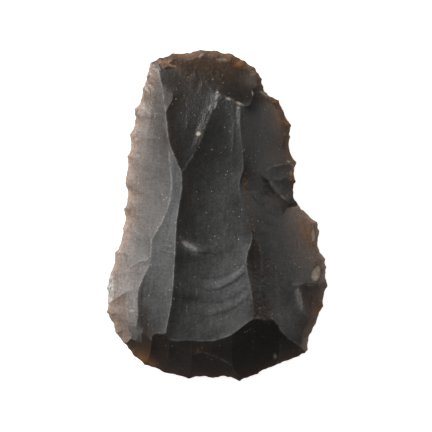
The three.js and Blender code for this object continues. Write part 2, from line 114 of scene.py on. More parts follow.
# Patches of tone, a few of them painted shade and highlights, as noted at their rows. A row holds the
# middle, the half widths and the turn of an oval, in mm and degrees, then how much it adds, and the scar it
# stays on, if it stays on one.
patches = {
    "film": [
        (-14.8, 36.0, 0.8, 1.2, 0, 0.3), (14.5, -16.5, 0.5, 6.0, 4, 0.15, "right"),
        (17.8, -9.0, 0.6, 5.0, 8, 0.12, "right"), (9.9, 17.0, 0.5, 5.0, 0, 0.1, "upperRight"),
        # Across the notch, the row at (15.0, 3.0) takes away film and the umber rows there darken a band:
        # partly brown stone, partly painted shadow. The row at (15.0, 5.8) just above is a painted highlight
        # along the ridge.
        (10.4, -13.0, 0.5, 5.0, 0, 0.35), (15.0, 3.0, 4.6, 1.0, -30, -0.2, "right"),
        (15.0, 5.8, 3.2, 0.5, -43, 0.3), (12.0, 0.8, 4.0, 0.6, -35, 0.15, "right"),
        (1.3, -19.0, 12, 12, 0, 0.5, "central"), (0.5, 1.0, 6.3, 9, 0, 0.2, "central"),
        # Rows at (-6.0, -7.6) and (3.2, -14.6) lighten the crest of the hinge in the central scar: painted
        # highlight, at the left end partly grey film.
        (-6.0, -7.6, 2.6, 1.0, -28, 0.9, "central"), (-6.4, -10.6, 3.9, 1.6, 0, -0.1, "central"),
        (-0.9, -15.8, 1.9, 1.2, 0, 0.12, "central"), (3.2, -14.6, 3.2, 0.8, 35, 0.4, "central"),
        (-6.0, -19.6, 4.3, 1.2, 0, -0.18, "central"), (1.3, -18.9, 2.4, 0.96, 10, -0.1, "central"),
        (-11.5, 34.6, 1.2, 0.96, 0, 0.1, "spur"), (-12.6, 36.8, 2.4, 1.1, -5, 0.9),
        (-15.2, 28.0, 3.8, 14, 8, -0.42, "flank"), (-21.5, -6.0, 4, 12, 0, 0.2, "flank"),
        (14.2, -17.0, 3.5, 8, 0, 0.15, "right"), (17.0, -25.4, 3.4, 5.5, 0, 0.65, "right"),
        # The row at (19.7, -19.8), with the pale row at (19.8, -20.0), paints a highlight band on the lip of
        # the right scar beside the shoulder.
        (19.7, -19.8, 1.1, 3.6, 12, 1.0), (22.0, -20.0, 0.7, 4.0, -12, 0.25, "shoulder"),
        (11.9, -2.3, 2.9, 2.4, -45, -0.12, "right"), (-13.5, -26.0, 2.5, 4, 0, -0.18, "innerFlank"),
        (-12.0, 6.0, 1.5, 5, 0, 0.1, "innerFlank"), (14.3, 8.7, 0.6, 0.5, 0, 0.3),
        (12.4, 8.9, 0.9, 0.4, -40, 0.25), (11.6, 12.0, 1.6, 4.5, -25, 0.06, "upperRight"),
    ],
    "rose": [
        (-23.3, -15.5, 3.4, 7.2, 0, 0.2, "lowFlank"), (-20.0, 18.0, 1.5, 14, -5, 0.25, "flank"),
        (20.1, -8.3, 2.4, 3.6, 0, 0.2, "right"), (21.7, -3.0, 1.8, 4.0, 25, 0.4, "right"),
    ],
    "umber": [
        (-12.2, 36.8, 2.8, 1.3, 0, 1.3), (-14.3, 36.8, 0.8, 0.8, 0, 0.6),
        (-17.6, -24.5, 1.2, 4.0, 0, 0.65, "innerFlank"), (-16.5, -28.0, 2.0, 2.5, 0, 0.6, "innerFlank"),
        # These two rows darken the crown and the central scar along the right side of the left arris, where
        # those faces turn away from the main light: painted shade.
        (-10.8, 18.7, 0.96, 5.8, 12, 0.5, "crown"), (-7.2, 3.7, 1.2, 6.7, 0, 0.4, "central"),
        # These two rows darken the band across the notch: partly brown stone, partly painted shadow.
        (15.0, 3.0, 4.6, 1.0, -30, 0.8, "right"), (15.0, 3.0, 4.6, 1.0, -30, 0.4, "notchLow"),
        (6.9, 6.5, 0.7, 3.2, 0, 0.9), (8.3, -2.0, 0.9, 2.6, -20, 0.9),
        (9.4, -10.0, 1.3, 5, 0, 0.6, "strip"), (10.5, -22.5, 2.2, 2.5, 0, 0.7),
        (15.2, 25.9, 1.9, 2.9, 0, 0.5, "upperRight"), (16.0, 21.8, 1.4, 1.9, 0, 0.4, "upperRight"),
        (22.5, -20.4, 1.9, 4.8, 0, 0.3, "shoulder"), (1.7, 35.1, 6, 2.9, 0, 0.5, "crown"),
        (20.5, -31.4, 1.2, 1.4, 0, 0.6), (-13.7, -34.8, 2.9, 1.9, -40, 0.5),
        (12.5, 13.5, 2.4, 1.2, 0, 0.3, "upperRight"),
    ],
    "amber": [
        (-12.4, 36.9, 1.8, 0.6, -8, 0.6), (-11.6, 35.9, 1.7, 0.2, -8, 0.6),
        (5.1, 36.7, 1.7, 0.96, -20, 0.6), (-16.1, -35.1, 2.4, 1.4, -50, 0.4),
        (-18.2, -34.0, 1.3, 0.9, -45, 0.5), (-15.5, -35.8, 0.9, 0.6, -20, 0.5),
        (6.6, 7.2, 0.45, 1.7, 0, 0.35), (18.1, 9.6, 0.6, 1.6, 0, 0.6), (23.8, -22.6, 0.8, 1.2, -20, 0.5),
        (-20.9, -0.1, 0.96, 1.9, 8, 0.2), (15.5, 24.0, 1.4, 3.0, 25, 0.3, "upperRight"),
        (21.5, -4.0, 1.8, 4.5, 25, 0.35, "right"), (-4.5, -32.0, 3, 2, 0, 0.12, "endFour"),
    ],
    "cream": [
        (-4.4, 19.5, 0.6, 0.5, 0, 1.0), (8.7, 34.3, 0.9, 0.7, 20, 0.4), (11.6, 29.3, 1.3, 0.5, -25, 0.5),
        (1.0, 37.5, 1.4, 0.4, 0, 0.25), (23.2, -4.7, 0.42, 1.4, 5, 0.6),
        (23.9, -13.9, 1.0, 1.9, -15, 0.75), (14.0, -33.9, 0.5, 0.6, 0, 0.35),
        (5.6, 26.7, 1.1, 0.28, -20, 0.6), (3.0, 27.8, 0.5, 0.26, -20, 0.6), (0.1, 29.5, 0.3, 0.2, 0, 0.6),
        (5.1, 25.7, 0.26, 0.2, 0, 0.7), (-10.8, 36.0, 0.96, 0.2, -10, 0.5),
        (-3.8, 38.4, 0.9, 0.3, 50, 0.45), (18.3, 12.2, 0.5, 0.25, 0, 0.6),
        (17.2, 13.0, 0.5, 0.2, -30, 0.7), (18.6, 11.2, 0.25, 0.8, 10, 0.5), (17.9, 10.2, 0.3, 0.7, 0, 0.5),
    ],
    "pale": [
        # The first two rows are painted highlight along the crest of the hinge in the central scar.
        (-6.6, -7.3, 2.6, 0.6, -33, 0.5, "central"), (5.2, -13.2, 2.0, 0.3, 38, 0.2, "central"),
        # The row at (19.8, -20.0) is painted highlight on the lip beside the shoulder.
        (-25.9, -17.5, 1.2, 4.5, 0, 0.7), (19.8, -20.0, 0.7, 3.0, 12, 0.38),
        (-20.5, -24.0, 2.0, 7.0, 0, 0.22, "sliver"), (-25.6, -13.5, 0.9, 4.5, 0, 0.35, "lowFlank"),
        (-23.2, -15.0, 3.4, 5.2, 0, 0.16, "lowFlank"), (-1.6, 25.9, 0.2, 0.96, -20, 0.5),
        (-0.3, 26.4, 0.24, 0.96, -20, 0.7), (-20.2, -22.8, 0.96, 0.16, 0, 0.5),
        (-7.2, -22.3, 0.15, 0.96, 0, 0.25), (-4.8, -18.4, 0.15, 0.96, 0, 0.25),
        (22.4, -16.7, 1.1, 0.17, 5, 0.35),
    ],
}

# How pale the line painted along an arris is, a painted highlight, by the two scars that meet there. Other
# arrises take the last row.
arrisPale = {
    ("flank", "innerFlank"): 0.3,
    ("lowFlank", "innerFlank"): 0.3,
    ("lowFlank", "flank"): 0.15,
    ("flank", "crown"): 0.3,
    ("flank", "spur"): 0.25,
    ("flank", "spurFoot"): 0.3,
    ("spur", "spurFoot"): 0.25,
    ("innerFlank", "crown"): 0.35,
    ("innerFlank", "central"): 0.36,
    ("crown", "central"): 0.16,
    ("central", "upperRight"): 0.1,
    ("central", "strip"): 0.25,
    ("strip", "right"): 0.12,
    ("central", "endThree"): 0.25,
    ("central", "endFour"): 0.35,
    ("innerFlank", "endTwo"): 0.3,
    ("sliver", "tanScar"): 0.3,
    ("sliver", "tanFacet"): 0.3,
    ("sliver", "innerFlank"): 0.3,
    ("tanFacet", "tanScar"): 0.25,
    ("upperRight", "notchShell"): 0.45,
    ("notchShell", "notchLow"): 0.55,
    ("notch", "notchLow"): 0.55,
    ("endFour", "endHollow"): 0.2,
    ("right", "endFive"): 0.25,
    ("right", "endSix"): 0.25,
    ("right", "shoulder"): 0.2,
    "other": 0.04,
}

# The painted highlight line itself. It shows where the arris is sharp enough and fades out in places.
arrisHighlightLine = {
    "width": 0.2,      # mm
    "bend": (5, 14),   # degrees between which the line goes from none to its full strength
    "even": 0.7,       # its strength on average
    "uneven": 1.2,     # how much that varies, and the most it reaches
    "breakSize": 1.4,  # mm
    "samples": 4,      # points at which each edge of the solid is measured
}


def toLinear(hexColour):
    channels = [int(hexColour[i:i + 2], 16) / 255 for i in (1, 3, 5)]
    return [c / 12.92 if c <= 0.04045 else ((c + 0.055) / 1.055) ** 2.4 for c in channels] + [1]


def smoothStep(low, high, value):
    t = np.clip((value - low) / (high - low), 0, 1)
    return t * t * (3 - 2 * t)


# Soft noise in about -1 to 1 at each point, whose lumps are size millimetres wide. Each shift gives
# another pattern.
def softNoise(points, size, shift=0, octaves=3):
    return np.array([
        noise.fractal(Vector((x / size, y / size, shift)), 1, 2, octaves, noise_basis="PERLIN_ORIGINAL")
        for x, y in points[:, :2]
    ])


# Reading the solid

def readSolid(node):
    mesh = node.data
    points = np.empty(len(mesh.vertices) * 3)
    mesh.vertices.foreach_get("co", points)
    mesh.calc_loop_triangles()
    corners = np.empty(len(mesh.loop_triangles) * 3, int)
    mesh.loop_triangles.foreach_get("vertices", corners)
    points, index = np.unique(np.round(points.reshape(-1, 3) / mm, 3), axis=0, return_inverse=True)
    return points, index.ravel()[corners].reshape(-1, 3)


# A face of the stone seen from above, as a sheet whose height and facet can be read at any place.
class Sheet:
    def __init__(self, points, triangles):
        self.points, self.triangles = points, triangles
        a, b, c = (points[triangles[:, i]] for i in range(3))
        normals = np.cross(b - a, c - a)
        self.normals = normals / np.linalg.norm(normals, axis=1)[:, None]
        flat = [Vector((x, y, 0)) for x, y, z in points]
        self.tree = BVHTree.FromPolygons(flat, triangles.tolist())

    def read(self, places):
        found = [self.tree.find_nearest(Vector((x, y, 0))) for x, y in places[:, :2]]
        facet = np.array([f[2] for f in found])
        at = np.array([f[0][:2] for f in found])
        base = self.points[self.triangles[facet, 0]]
        n = self.normals[facet]
        height = base[:, 2] - ((at - base[:, :2]) * n[:, :2]).sum(axis=1) / n[:, 2]
        return height, facet


def edgeMap(triangles):
    edges = {}
    for face, corners in enumerate(triangles.tolist()):
        for i in range(3):
            a, b = corners[i], corners[(i + 1) % 3]
            edges.setdefault((min(a, b), max(a, b)), []).append(face)
    return edges


# Gives each facet of the solid to a scar. A scar spreads from its point over gentle bends and stops at
# arrises, because crossing a sharp edge costs far more than crossing a flat one.
def labelFacets(sheet, edges):
    centres = sheet.points[sheet.triangles].mean(axis=1)
    neighbours = [[] for _ in sheet.triangles]
    for faces in edges.values():
        if len(faces) == 2:
            bend = math.degrees(math.acos(min(1, sheet.normals[faces[0]] @ sheet.normals[faces[1]])))
            cost = stoneMesh["spreadStep"] + (bend / stoneMesh["spreadBend"]) ** 2
            neighbours[faces[0]].append((faces[1], cost))
            neighbours[faces[1]].append((faces[0], cost))
    label = np.full(len(sheet.triangles), -1)
    heap = []
    for number, scar in enumerate(scars.values()):
        for place in scar["at"]:
            start = int(np.argmin(np.hypot(*(centres[:, :2] - place).T)))
            heapq.heappush(heap, (0, start, number))
    while heap:
        cost, face, number = heapq.heappop(heap)
        if label[face] < 0:
            label[face] = number
            for other, step in neighbours[face]:
                heapq.heappush(heap, (cost + step, other, number))
    return label


# Margin points of the sheet in order, from the directed edges that have a triangle on one side only.
def walkMargin(triangles):
    following = {}
    for corners in triangles.tolist():
        for i in range(3):
            following[(corners[i], corners[(i + 1) % 3])] = True
    after = {a: b for a, b in following if (b, a) not in following}
    start = next(iter(after))
    loop = [start]
    while after[loop[-1]] != start:
        loop.append(after[loop[-1]])
    return loop


# Plan of the fine mesh

# Small chips along the margin, in mm. Pairs are the least and the most.
margin = {
    "chipSpacing": 1.7,
    "chipStray": 0.5,          # how far a chip strays from its place, as a share of the spacing
    "chipWidth": (0.55, 1.5),  # half width along the margin
    "chipReach": (0.5, 1.7),   # how far it runs inward
    "chipBite": (0.04, 0.3),   # how far it cuts the outline back
    "chipDepth": (0.04, 0.22),
}


def refineMargin(corners):
    following = np.roll(corners, -1, axis=0)
    fine = []
    for a, b in zip(corners, following):
        count = max(1, round(np.linalg.norm(b - a) / stoneMesh["marginStep"]))
        fine += [a + (b - a) * i / count for i in range(count)]
    return np.array(fine)


def inwardOf(loop):
    along = np.roll(loop, -2, axis=0) - np.roll(loop, 2, axis=0)
    inward = np.stack([-along[:, 1], along[:, 0]], axis=1)
    return inward / np.linalg.norm(inward, axis=1)[:, None]


def chipMargin(loop):
    inward = inwardOf(loop)
    lengths = np.linalg.norm(np.roll(loop, -1, axis=0) - loop, axis=1)
    place = np.concatenate([[0], np.cumsum(lengths)[:-1]])
    total = lengths.sum()
    chips = []
    shift = np.zeros(len(loop))
    for start in np.arange(0, total, margin["chipSpacing"]):
        at = start + random.uniform(-margin["chipStray"], margin["chipStray"]) * margin["chipSpacing"]
        width, reach, bite, depth = (random.uniform(*margin["chip" + key])
                                     for key in ("Width", "Reach", "Bite", "Depth"))
        offset = (place - at + total / 2) % total - total / 2
        shift = np.maximum(shift, bite * np.clip(1 - (offset / width) ** 2, 0, 1))
        middle = int(np.argmin(abs(offset)))
        chips.append((loop[middle], inward[middle], width, reach, depth))
    return loop + inward * shift[:, None], chips


def isInside(places, loop):
    following = np.roll(loop, -1, axis=0)
    inside = np.zeros(len(places), bool)
    for (ax, ay), (bx, by) in zip(loop, following):
        if ay != by:
            crosses = (ay > places[:, 1]) != (by > places[:, 1])
            inside ^= crosses & (places[:, 0] < ax + (places[:, 1] - ay) / (by - ay) * (bx - ax))
    return inside


def treeOf(places):
    tree = kdtree.KDTree(len(places))
    for i, (x, y) in enumerate(places):
        tree.insert((x, y, 0), i)
    tree.balance()
    return tree


def distanceTo(tree, places):
    return np.array([tree.find((x, y, 0))[2] for x, y in places[:, :2]])


def scatter(step, loop):
    low, high = loop.min(axis=0), loop.max(axis=0)
    rows = np.arange(low[1], high[1], step * math.sqrt(3) / 2)
    columns = np.arange(low[0], high[0], step)
    x, y = np.meshgrid(columns, rows)
    x = x + (np.arange(len(rows)) % 2)[:, None] * step / 2
    places = np.stack([x.ravel(), y.ravel()], axis=1)
    places = places + random.uniform(-1, 1, places.shape) * stoneMesh["jitter"] * step
    return places[isInside(places, loop)]


# Triangles of a face: the margin, the lines that have to stay edges, and points scattered between.
def meshPlan(loop, lines, step):
    marginTree = treeOf(loop)
    places = [tuple(p) for p in loop]
    edges = [(i, (i + 1) % len(loop)) for i in range(len(loop))]
    index = {}
    for a, b in lines:
        count = max(1, round(np.linalg.norm(b - a) / step))
        steps = [a + (b - a) * i / count for i in range(count + 1)]
        clear = distanceTo(marginTree, np.array(steps)) > stoneMesh["marginGap"] * step
        clear &= isInside(np.array(steps), loop)
        before = None
        for point, isClear in zip(steps, clear):
            key = tuple(np.round(point, 3))
            if isClear and key not in index:
                index[key] = len(places)
                places.append(key)
            now = index.get(key) if isClear else None
            if before is not None and now is not None:
                edges.append((before, now))
            before = now
    fixedCount = len(places)
    loose = scatter(step, loop)
    loose = loose[distanceTo(treeOf(places), loose) > stoneMesh["lineGap"] * step]
    places = [Vector(p) for p in places] + [Vector(p) for p in loose]
    out = geometry.delaunay_2d_cdt(places, edges, [], 1, 1e-5)
    return np.array([tuple(p) for p in out[0]]), np.array(out[2]), fixedCount


# Lets the fine points hang between the fixed ones, so that each scar is a smooth hollow.
def hang(places, triangles, height, fixed):
    weightsFrom, weightsTo, weights = [], [], []
    area = np.zeros(len(places))
    for i in range(3):
        apex, a, b = (triangles[:, (i + k) % 3] for k in range(3))
        toA, toB = places[a] - places[apex], places[b] - places[apex]
        cross = toA[:, 0] * toB[:, 1] - toA[:, 1] * toB[:, 0]
        weight = (toA * toB).sum(axis=1) / cross / 2
        area += np.bincount(apex, abs(cross) / 6, len(places))
        weightsFrom += [a, b]
        weightsTo += [b, a]
        weights += [weight, weight]
    here, there, weight = (np.concatenate(part) for part in (weightsFrom, weightsTo, weights))
    total = np.bincount(here, weight, len(places))
    load = area / stoneMesh["scarRadius"]
    for _ in range(stoneMesh["hangings"]):
        hung = (np.bincount(here, weight * height[there], len(places)) - load) / total
        height = np.where(fixed, height, hung)
    return height


points, triangles = readSolid(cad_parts["flint_scraper"])
a, b, c = (points[triangles[:, i]] for i in range(3))
normals = np.cross(b - a, c - a)
upward = normals[:, 2] / np.linalg.norm(normals, axis=1)
upper = Sheet(points, triangles[upward > stoneMesh["faceTilt"]])
ventral = Sheet(points, triangles[upward < -stoneMesh["faceTilt"]])


# Degrees by which the upper face bends between two facets.
def bendOf(faces):
    return math.degrees(math.acos(min(1, upper.normals[faces[0]] @ upper.normals[faces[1]])))


facetEdges = edgeMap(upper.triangles)
facetScar = labelFacets(upper, facetEdges)
arrisLines = []
for (p, q), faces in facetEdges.items():
    if len(faces) == 2:
        if bendOf(faces) > stoneMesh["arrisAngle"] or facetScar[faces[0]] != facetScar[faces[1]]:
            arrisLines.append((points[p, :2], points[q, :2]))

cadLoop = points[walkMargin(upper.triangles)][:, :2]
loop, chips = chipMargin(refineMargin(cadLoop))
plan, planTriangles, fixedCount = meshPlan(loop, arrisLines, stoneMesh["scarStep"])
print("plan of the upper face:", len(plan), "points,", len(planTriangles), "triangles")

height, facet = upper.read(plan)
toFixed = distanceTo(treeOf(plan[:fixedCount]), plan)
height = hang(plan, planTriangles, height, toFixed < stoneMesh["onLine"])
scarOf = facetScar[facet]
print("scars hung")


# Relief of the upper face

# Sizes in mm. Pairs are the least and the most, apart from ringSides.
relief = {
    "rippleFade": 1.2,        # distance from an arris over which ripples die out
    "ringSides": (1.5, 0.6),  # width of a ripple before and past its crest, as a share of its own width
    "waverSize": 5,
    "fissureFade": 1,
    "fissureWidth": (0.2, 0.6),
    "fissureLength": (1.5, 5),
    "fissureHeight": (0.02, 0.06),
    "fissureStray": 6,        # degrees by which a fissure strays from the turn of its scar
    "softFade": 0.8,          # distance from an arris over which lumps and swellings die out
    "lumpHeight": 0.05,       # soft unevenness of a scar
    "lumpSize": 7,
    "grainHeight": 0.012,     # finest unevenness
    "grainSize": 0.9,
    "crushSize": 0.5,
    "breakSize": 0.8,
    "breakRim": (0.4, 1.2),   # share of an oval from which its roughness fades, and where it ends
    "hollowPower": 0.6,       # below 1 gives a small scar a flat floor and a steep rim
    "thinnest": 0.1,          # stone left under a chip
}

# Ripples of the large scars. They run out from the place of the blow, so each set has a foot, a turn in
# degrees and a roundness. A ring holds its distance down from the foot, its height, its width, and the
# middle and half length of the part of it that shows, all in mm.
ripples = {
    "central": {"foot": (-1.6, 0), "turn": 0, "roundness": 9, "waver": 0.5,
                "rings": [(8.9, 0.3, 0.8, -3.5, 4.5), (14.6, 0.06, 1.0, 0, 6), (17.2, 0.16, 0.7, 3, 5),
                          (20.4, 0.08, 0.9, 0, 9), (23.6, 0.12, 0.8, 3, 8)]},
    "right": {"foot": (17.5, 9.0), "turn": -48, "roundness": 9, "waver": 0.5,
              "rings": [(7.4, 0.14, 0.6, -1, 4), (9.4, 0.13, 0.7, -1, 5), (12.0, 0.12, 0.9, 0, 6),
                        (15.4, 0.1, 1.1, 0, 7), (19.5, 0.08, 1.2, 0, 8)]},
    "flank": {"foot": (-14, 38), "turn": 0, "roundness": 12, "waver": 1,
              "rings": [(9, 0.03, 0.8, -3, 4), (14.5, 0.04, 0.9, -3, 4), (20, 0.04, 0.9, -4, 5),
                        (27, 0.04, 1, -4, 5), (33, 0.05, 1, -5, 5), (39, 0.05, 1, -6, 5),
                        (44, 0.06, 0.9, -7, 5)]},
    "lowFlank": {"foot": (-18, -2), "turn": -20, "roundness": 9, "waver": 0.8,
                 "rings": [(12, 0.05, 0.7, 0, 4), (14.5, 0.05, 0.7, 0, 4), (17, 0.05, 0.7, 0, 4)]},
    "crown": {"foot": (1.5, 37), "turn": 12, "roundness": 9, "waver": 1.2,
              "rings": [(6, 0.035, 0.8, -1, 5), (9.5, 0.04, 0.9, -2, 6), (13.5, 0.04, 0.8, -3, 5),
                        (17.5, 0.03, 0.8, -4, 4)]},
    "innerFlank": {"foot": (-10.5, -2), "turn": -10, "roundness": 5, "waver": 0.3,
                   "rings": [(4.2, 0.03, 0.3, 0, 2), (5.4, 0.03, 0.3, 0, 2), (6.8, 0.03, 0.3, 0, 2)]},
}


def addRipples(height):
    fade = smoothStep(0, relief["rippleFade"], toFixed)
    for name, row in ripples.items():
        here = scarOf == names.index(name)
        x, y = plan[here, 0] - row["foot"][0], plan[here, 1] - row["foot"][1]
        turn = math.radians(row["turn"])
        across = x * math.cos(turn) + y * math.sin(turn)
        down = x * math.sin(turn) - y * math.cos(turn)
        down += across ** 2 / (2 * row["roundness"])
        down += row["waver"] * softNoise(plan[here], relief["waverSize"])
        before, after = relief["ringSides"]
        for place, tall, wide, middle, spread in row["rings"]:
            past = down - place
            ring = np.exp(-(past / np.where(past < 0, before * wide, after * wide)) ** 2)
            shown = np.exp(-((across - middle) / spread) ** 2)
            height[here] += tall * ring * shown * fade[here]
    return height


# Faint ridges and fissures that run down a scar: how many it has, and their turn in degrees.
fissures = {
    "flank": (14, -8), "lowFlank": (5, -20), "innerFlank": (10, -8), "crown": (9, -12), "central": (16, -4),
    "strip": (4, 4), "right": (14, 10), "upperRight": (8, 8), "shoulder": (5, -20), "tanScar": (3, 20),
    "endOne": (3, 25), "endTwo": (3, 10), "endThree": (3, 0), "endFour": (3, 0), "endFive": (6, -5),
    "endSix": (3, -15),
}


def addFissures(height):
    fade = smoothStep(0, relief["fissureFade"], toFixed)
    stray = relief["fissureStray"]
    for name, (count, turn) in fissures.items():
        here = scarOf == names.index(name)
        own = plan[here]
        for _ in range(count):
            x, y = own[random.integers(len(own))]
            wide, tall = random.uniform(*relief["fissureWidth"]), random.uniform(*relief["fissureLength"])
            radius = ovalRadius(own, x, y, wide, tall, turn + random.uniform(-stray, stray))
            rise = random.choice([-1, 1]) * random.uniform(*relief["fissureHeight"])
            height[here] += rise * np.exp(-radius ** 2) * fade[here]
    return height


# Small scars and chips inside the margin. Each row holds the middle, the half widths and the turn of an
# oval, in mm and degrees, and its depth. A negative depth is a bump.
scoops = [
    (-20.9, 0.8, 1.1, 2.4, 8, 0.3), (-21.4, -3.3, 0.96, 1.7, 0, 0.22), (-22.4, -10.4, 1.0, 1.2, 0, 0.15),
    (8.7, 34.3, 1.1, 0.96, 0, 0.2), (11.6, 29.3, 1.7, 0.72, -25, 0.2), (23.2, -4.7, 0.72, 1.6, 0, 0.12),
    (23.9, -13.9, 1.2, 2.2, -15, 0.18), (-18.3, 25.4, 1.2, 1.4, 0, 0.15), (-19.9, 19.6, 0.96, 1.7, 0, 0.15),
    (-17.0, 30.0, 0.96, 1.2, 0, 0.15), (0.8, 38.2, 3.4, 1.4, 0, 0.3), (-7.2, 38.2, 2.4, 1.2, 10, 0.25),
    (-4.5, -31.2, 1.6, 1.2, 0, 0.15), (0.6, -31.4, 1.8, 1.3, 10, 0.16), (3.9, -31.0, 1.5, 1.2, -10, 0.12),
    (-9.8, -31.4, 1.3, 1.4, 0, 0.12), (-14.6, -30.6, 1.4, 1.2, 0, 0.12), (8.2, -28.8, 1.4, 1.3, 0, 0.12),
    (12.6, -29.4, 1.6, 1.6, 20, 0.15), (17.6, -30.8, 1.3, 1.5, 20, 0.12), (14.0, -33.7, 0.8, 0.7, 0, 0.14),
    (6.1, 36.7, 1.9, 1.4, -25, 0.25), (14.3, 8.5, 0.7, 0.5, -20, -0.14), (12.3, 8.9, 0.8, 0.5, -40, -0.1),
]

# Soft swellings, each an oval as above and its height.
swells = [
    (-5.8, 25.5, 3.4, 8.0, -20, 0.3), (-14.2, 37.4, 2.0, 2.0, 0, 0.6), (15.0, -10.0, 1.6, 8.0, 8, 0.15),
    (12.0, -20.0, 1.3, 5.0, 5, 0.12), (12.5, 21.0, 1.5, 7.0, 5, 0.12), (2.5, 2.0, 2.2, 9.0, -5, 0.08),
    (-4.0, -3.0, 2.5, 7.0, 10, 0.08), (-19.5, 12.0, 1.8, 9.0, -8, 0.1), (12.8, 7.6, 0.5, 2.6, 40, 0.22),
    (9.0, 4.5, 0.6, 4.0, 35, 0.1), (10.2, 1.0, 0.7, 4.5, 38, 0.1),
]

# Places with a rougher break. Each row holds an oval, as above, then the height of its roughness.
roughened = [
    (15.0, -12.0, 6.0, 16, 0, 0.03), (13.0, 20.0, 5.0, 12, 0, 0.025), (-2.0, 28.0, 12, 11, 0, 0.02),
    (5.4, -18.5, 3.6, 6.5, -15, 0.05), (10.3, -17.0, 3.0, 7.5, 0, 0.05), (-13.0, 36.4, 3.4, 1.8, 0, 0.1),
    (-21.5, -12.0, 3.0, 5.0, 0, 0.03), (-23.3, -25.5, 2.4, 4.0, 0, 0.05), (1.0, 34.5, 11, 3.5, 0, 0.05),
    (21.8, -22.0, 3.0, 6.0, 0, 0.06), (-9.0, -33.5, 12, 4.5, -8, 0.03), (12.0, -30.5, 9, 4.0, 15, 0.035),
    (17.0, 8.5, 2.2, 5.0, 0, 0.06), (-17.0, -27.0, 2.5, 4.0, 0, 0.04), (3.5, 27.5, 4.0, 1.6, -15, 0.04),
]

# Lines along which the stone is crushed: where each runs, how wide it is and how deep.
crushing = {
    "rightArris": {"path": [(6.6, 10.5), (6.9, 5.5), (8.0, 0.0), (8.9, -4.6)], "width": 0.6, "depth": 0.14},
    "stripTop": {"path": [(12.1, -10.8), (12.3, -14.4)], "width": 0.8, "depth": 0.14},
    "stripFoot": {"path": [(9.4, -21.0), (12.2, -24.0)], "width": 1.2, "depth": 0.12},
    "crownLine": {"path": [(0.1, 29.5), (3.2, 27.7), (7.0, 26.2)], "width": 0.35, "depth": 0.15},
    "notchEdge": {"path": [(18.0, 13.5), (18.3, 9.5), (18.0, 5.5)], "width": 0.5, "depth": 0.25},
    "scraperCorner": {"path": [(9.6, -23.6), (12.5, -25.5)], "width": 0.5, "depth": 0.15},
}


# How crushed each place is, from 0 to 1, and how deep that is.
def crushedAt(places):
    share, depth = np.zeros(len(places)), np.zeros(len(places))
    for line in crushing.values():
        for start, end in zip(line["path"], line["path"][1:]):
            start, along = np.array(start), np.array(end) - np.array(start)
            t = np.clip((places - start) @ along / (along @ along), 0, 1)
            away = np.linalg.norm(places - start - t[:, None] * along, axis=1)
            near = np.exp(-(away / line["width"]) ** 2)
            depth = np.where(near > share, line["depth"], depth)
            share = np.maximum(share, near)
    return share, depth


def turned(offset, angle):
    c, s = math.cos(math.radians(angle)), math.sin(math.radians(angle))
    return offset[:, 0] * c + offset[:, 1] * s, offset[:, 1] * c - offset[:, 0] * s


# Distance from the middle of an oval, which is 1 at its rim.
def ovalRadius(places, x, y, wide, tall, turn):
    along, aside = turned(places - (x, y), turn)
    return np.hypot(along / wide, aside / tall)


def cutScoops(height, rows):
    for x, y, wide, tall, turn, depth in rows:
        radius = ovalRadius(plan, x, y, wide, tall, turn)
        height = height - depth * np.clip(1 - radius ** 2, 0, 1) ** relief["hollowPower"]
    return height


def cutChips(height, floor):
    for at, inward, width, reach, depth in chips:
        offset = plan - at
        deep = offset @ inward
        aside = offset @ np.array([inward[1], -inward[0]])
        inside = 1 - (aside / width) ** 2 - (deep / reach) ** 2
        height = height - depth * np.clip(inside, 0, 1) ** relief["hollowPower"]
    return np.maximum(height, floor + relief["thinnest"])


ventralOfPlan, _ = ventral.read(plan)
height = addFissures(addRipples(height))
fade = smoothStep(0, relief["softFade"], toFixed)
height += relief["lumpHeight"] * softNoise(plan, relief["lumpSize"], 3) * fade
height += relief["grainHeight"] * softNoise(plan, relief["grainSize"], 9)
crushed, crushDepth = crushedAt(plan)
height -= crushed * crushDepth * np.abs(softNoise(plan, relief["crushSize"], 100))
height = cutScoops(height, scoops)
for *oval, tall in swells:
    height += tall * np.exp(-ovalRadius(plan, *oval) ** 2) * fade
breaks = softNoise(plan, relief["breakSize"], 140)
for *oval, tall in roughened:
    height += tall * breaks * (1 - smoothStep(*relief["breakRim"], ovalRadius(plan, *oval)))
height = cutChips(height, ventralOfPlan)
print("upper face carved")

# The ventral face is one scar, so its ripples ring the butt, where the blow fell. A small scar sits on
# the bulb. All of it is cut inward, so the stone still rests on the same plane.
ventralRelief = {
    "blow": (0, 40),
    "rings": [(17, 0.07, 2.2), (25, 0.09, 2.6), (34, 0.1, 3), (44, 0.1, 3), (55, 0.12, 3.2), (66, 0.1, 3)],
    "bulbScar": (2.5, 29.5, 2.6, 4.2, 15, 0.25),
    "waver": 0.8,  # mm by which the rings stray from round
    "waverSize": 12,
    "lumpHeight": 0.03,
    "lumpSize": 5,
    "fade": 2.5,   # mm from the margin over which all of it dies out
}


def carveVentral(places, height):
    away = np.hypot(*(places - ventralRelief["blow"]).T)
    away += ventralRelief["waver"] * softNoise(places, ventralRelief["waverSize"])
    cut = sum(tall * np.exp(-((away - place) / wide) ** 2) for place, tall, wide in ventralRelief["rings"])
    *oval, depth = ventralRelief["bulbScar"]
    cut += depth * np.clip(1 - ovalRadius(places, *oval) ** 2, 0, 1) ** relief["hollowPower"]
    cut += ventralRelief["lumpHeight"] * (1 + softNoise(places, ventralRelief["lumpSize"], 20))
    return height + cut * smoothStep(0, ventralRelief["fade"], distanceTo(treeOf(loop), places))


ventralPlan, ventralTriangles, _ = meshPlan(loop, [], stoneMesh["ventralStep"])
ventralHeight, _ = ventral.read(ventralPlan)
ventralHeight = carveVentral(ventralPlan, ventralHeight)
print("ventral face:", len(ventralTriangles), "triangles")


# One closed mesh

